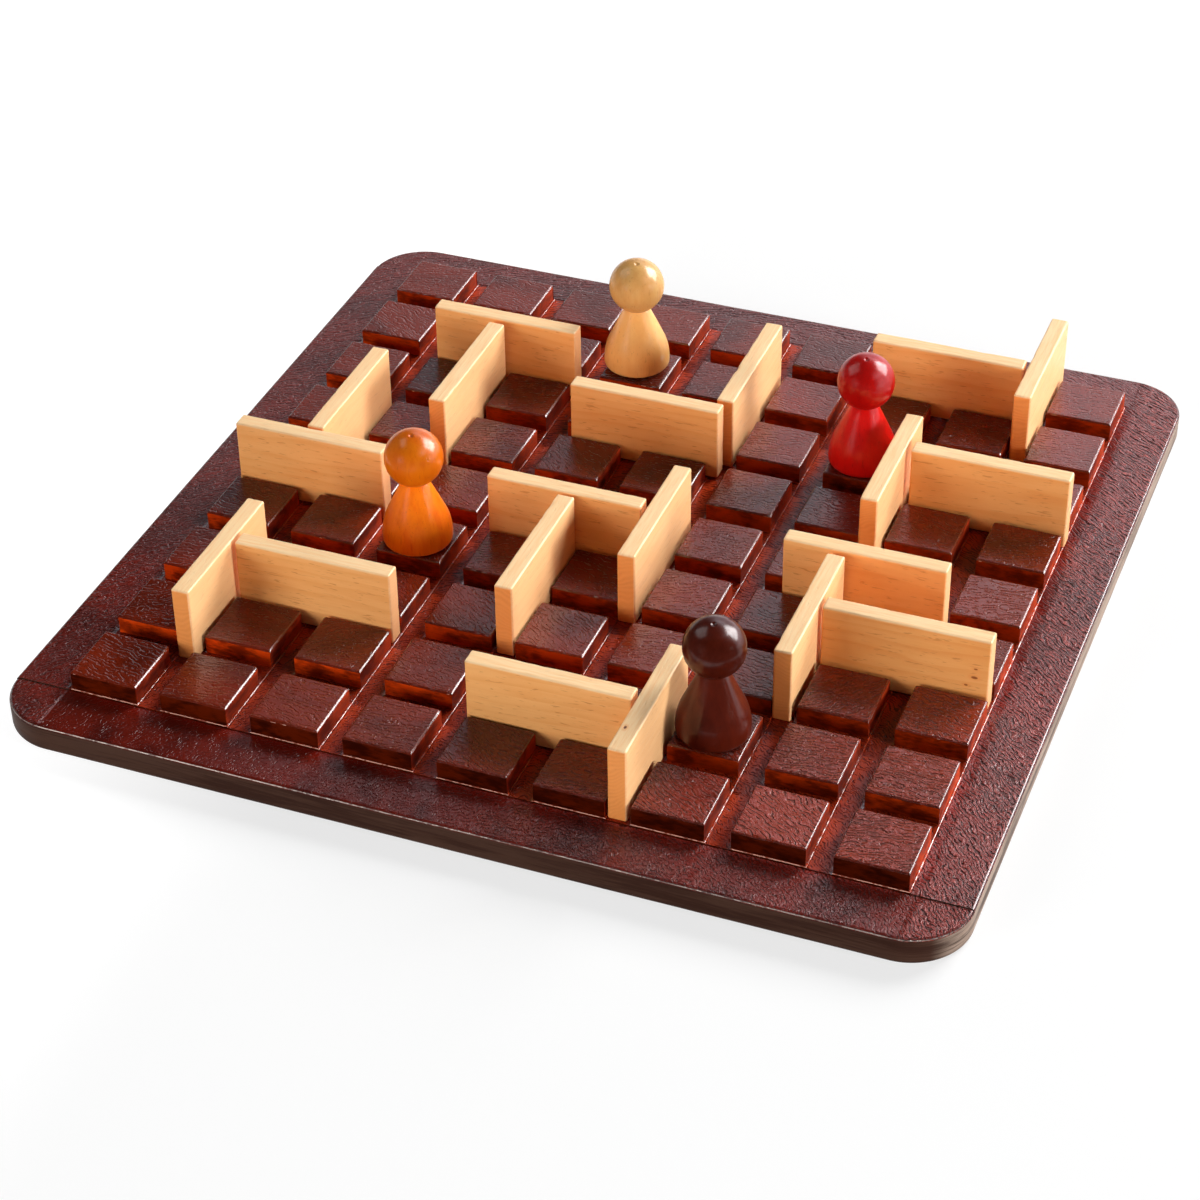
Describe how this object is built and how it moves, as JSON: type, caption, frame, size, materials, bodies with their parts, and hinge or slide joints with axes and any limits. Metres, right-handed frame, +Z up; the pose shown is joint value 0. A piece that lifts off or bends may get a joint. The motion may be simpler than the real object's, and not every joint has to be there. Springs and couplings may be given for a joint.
{
  "type": "wall-placement board game",
  "caption": "Square wooden board milled into a grid of raised squares, with upright wooden walls standing in the grooves and turned wooden pawns on the squares.",
  "frame": {"origin": "centre of the board's underside, on the table", "axes": "+Z up from the table; +X along the front edge to the right; +Y from the front edge to the back"},
  "size_m": [0.265, 0.265, 0.0502],
  "materials": {
    "board": "satin lacquer on dark red-brown stained wood",
    "walls": "bare fine-sanded pale beech",
    "pawn_orange": "orange stain under satin lacquer",
    "pawn_dark": "dark brown stain under satin lacquer",
    "pawn_natural": "clear satin lacquer on pale wood",
    "pawn_red": "red stain under satin lacquer"
  },
  "bodies": {
    "board": {"board_base": "board", "squares_row_1": "board", "squares_row_2": "board", "squares_row_3": "board", "squares_row_4": "board", "squares_row_5": "board", "squares_row_6": "board", "squares_row_7": "board", "squares_row_8": "board", "squares_row_9": "board"},
    "wall_01": {"wall_01": "walls"},
    "wall_02": {"wall_02": "walls"},
    "wall_03": {"wall_03": "walls"},
    "wall_04": {"wall_04": "walls"},
    "wall_05": {"wall_05": "walls"},
    "wall_06": {"wall_06": "walls"},
    "wall_07": {"wall_07": "walls"},
    "wall_08": {"wall_08": "walls"},
    "wall_09": {"wall_09": "walls"},
    "wall_10": {"wall_10": "walls"},
    "wall_11": {"wall_11": "walls"},
    "wall_12": {"wall_12": "walls"},
    "wall_13": {"wall_13": "walls"},
    "wall_14": {"wall_14": "walls"},
    "wall_15": {"wall_15": "walls"},
    "wall_16": {"wall_16": "walls"},
    "wall_17": {"wall_17": "walls"},
    "wall_18": {"wall_18": "walls"},
    "wall_19": {"wall_19": "walls"},
    "wall_20": {"wall_20": "walls"},
    "pawn_orange": {"pawn_orange": "pawn_orange"},
    "pawn_dark": {"pawn_dark": "pawn_dark"},
    "pawn_natural": {"pawn_natural": "pawn_natural"},
    "pawn_red": {"pawn_red": "pawn_red"}
  },
  "joints": [
    {"name": "wall_01_lift", "type": "slide", "parent": "board", "child": "wall_01", "axis": [0, 0, 1], "range_m": [0, 0.045]},
    {"name": "wall_02_lift", "type": "slide", "parent": "board", "child": "wall_02", "axis": [0, 0, 1], "range_m": [0, 0.045]},
    {"name": "wall_03_lift", "type": "slide", "parent": "board", "child": "wall_03", "axis": [0, 0, 1], "range_m": [0, 0.045]},
    {"name": "wall_04_lift", "type": "slide", "parent": "board", "child": "wall_04", "axis": [0, 0, 1], "range_m": [0, 0.045]},
    {"name": "wall_05_lift", "type": "slide", "parent": "board", "child": "wall_05", "axis": [0, 0, 1], "range_m": [0, 0.045]},
    {"name": "wall_06_lift", "type": "slide", "parent": "board", "child": "wall_06", "axis": [0, 0, 1], "range_m": [0, 0.045]},
    {"name": "wall_07_lift", "type": "slide", "parent": "board", "child": "wall_07", "axis": [0, 0, 1], "range_m": [0, 0.045]},
    {"name": "wall_08_lift", "type": "slide", "parent": "board", "child": "wall_08", "axis": [0, 0, 1], "range_m": [0, 0.045]},
    {"name": "wall_09_lift", "type": "slide", "parent": "board", "child": "wall_09", "axis": [0, 0, 1], "range_m": [0, 0.045]},
    {"name": "wall_10_lift", "type": "slide", "parent": "board", "child": "wall_10", "axis": [0, 0, 1], "range_m": [0, 0.045]},
    {"name": "wall_11_lift", "type": "slide", "parent": "board", "child": "wall_11", "axis": [0, 0, 1], "range_m": [0, 0.045]},
    {"name": "wall_12_lift", "type": "slide", "parent": "board", "child": "wall_12", "axis": [0, 0, 1], "range_m": [0, 0.045]},
    {"name": "wall_13_lift", "type": "slide", "parent": "board", "child": "wall_13", "axis": [0, 0, 1], "range_m": [0, 0.045]},
    {"name": "wall_14_lift", "type": "slide", "parent": "board", "child": "wall_14", "axis": [0, 0, 1], "range_m": [0, 0.045]},
    {"name": "wall_15_lift", "type": "slide", "parent": "board", "child": "wall_15", "axis": [0, 0, 1], "range_m": [0, 0.045]},
    {"name": "wall_16_lift", "type": "slide", "parent": "board", "child": "wall_16", "axis": [0, 0, 1], "range_m": [0, 0.045]},
    {"name": "wall_17_lift", "type": "slide", "parent": "board", "child": "wall_17", "axis": [0, 0, 1], "range_m": [0, 0.045]},
    {"name": "wall_18_lift", "type": "slide", "parent": "board", "child": "wall_18", "axis": [0, 0, 1], "range_m": [0, 0.045]},
    {"name": "wall_19_lift", "type": "slide", "parent": "board", "child": "wall_19", "axis": [0, 0, 1], "range_m": [0, 0.045]},
    {"name": "wall_20_lift", "type": "slide", "parent": "board", "child": "wall_20", "axis": [0, 0, 1], "range_m": [0, 0.045]},
    {"name": "pawn_orange_lift", "type": "slide", "parent": "board", "child": "pawn_orange", "axis": [0, 0, 1], "range_m": [0, 0.045]},
    {"name": "pawn_dark_lift", "type": "slide", "parent": "board", "child": "pawn_dark", "axis": [0, 0, 1], "range_m": [0, 0.045]},
    {"name": "pawn_natural_lift", "type": "slide", "parent": "board", "child": "pawn_natural", "axis": [0, 0, 1], "range_m": [0, 0.045]},
    {"name": "pawn_red_lift", "type": "slide", "parent": "board", "child": "pawn_red", "axis": [0, 0, 1], "range_m": [0, 0.045]}
  ]
}
